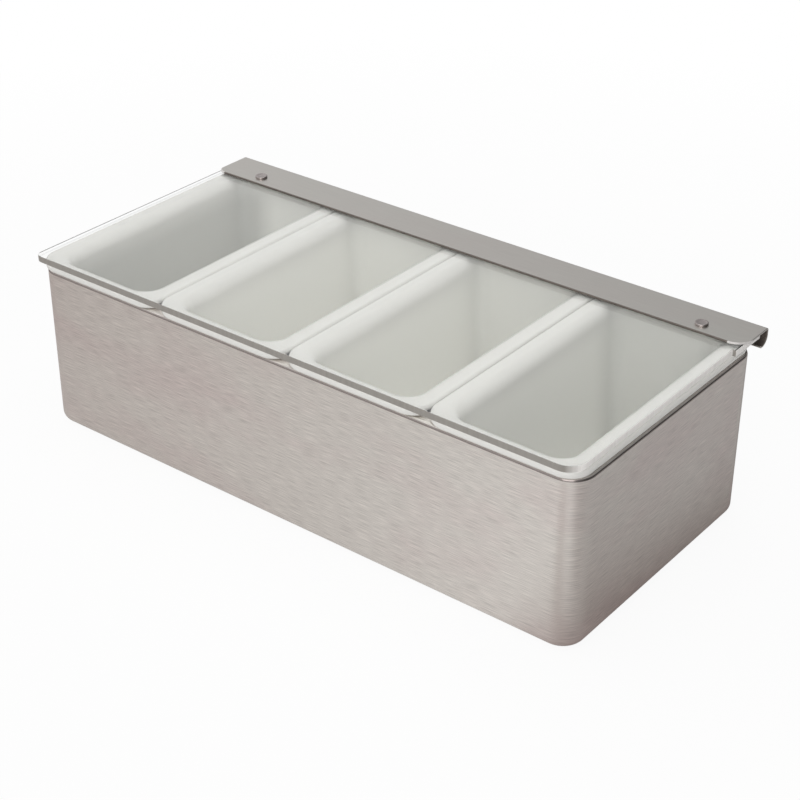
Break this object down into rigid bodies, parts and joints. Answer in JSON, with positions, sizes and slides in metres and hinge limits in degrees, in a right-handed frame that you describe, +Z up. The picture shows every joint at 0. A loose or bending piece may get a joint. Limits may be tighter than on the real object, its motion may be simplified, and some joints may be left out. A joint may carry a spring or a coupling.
{
  "type": "condiment caddy",
  "caption": "Long brushed steel box holding white lift-out pans side by side under a clear full-width lid, hinged at the rear by a riveted steel strip curled round a rod.",
  "frame": {"origin": "middle of the box's underside, on the surface it stands on", "axes": "+Z up, +X towards the right end, front towards -Y; the lid hinges along X at the rear"},
  "size_m": [0.3024, 0.146, 0.0901],
  "materials": {
    "brushed_steel": "brushed along the box's length",
    "brushed_strip": "fine brushed along the strip",
    "plain_steel": "satin",
    "pan_white": "smooth, slightly glossy",
    "clear_lid": "clear polished acrylic"
  },
  "bodies": {
    "caddy": {"steel_box": "brushed_steel", "hinge_rod": "plain_steel", "hinge_bracket_left": "plain_steel", "hinge_bracket_centre": "plain_steel", "hinge_bracket_right": "plain_steel", "pan_1": "pan_white", "pan_2": "pan_white", "pan_3": "pan_white", "pan_4": "pan_white"},
    "lid": {"lid_plate": "clear_lid", "hinge_strip": "brushed_strip", "rivet_left": "plain_steel", "rivet_right": "plain_steel", "washer_left": "plain_steel", "washer_right": "plain_steel"}
  },
  "joints": [
    {"name": "lid_hinge", "type": "hinge", "parent": "caddy", "child": "lid", "pos_m": [0, 0.072, 0.08355], "axis": [-1, 0, 0], "range_deg": [0, 100]}
  ]
}
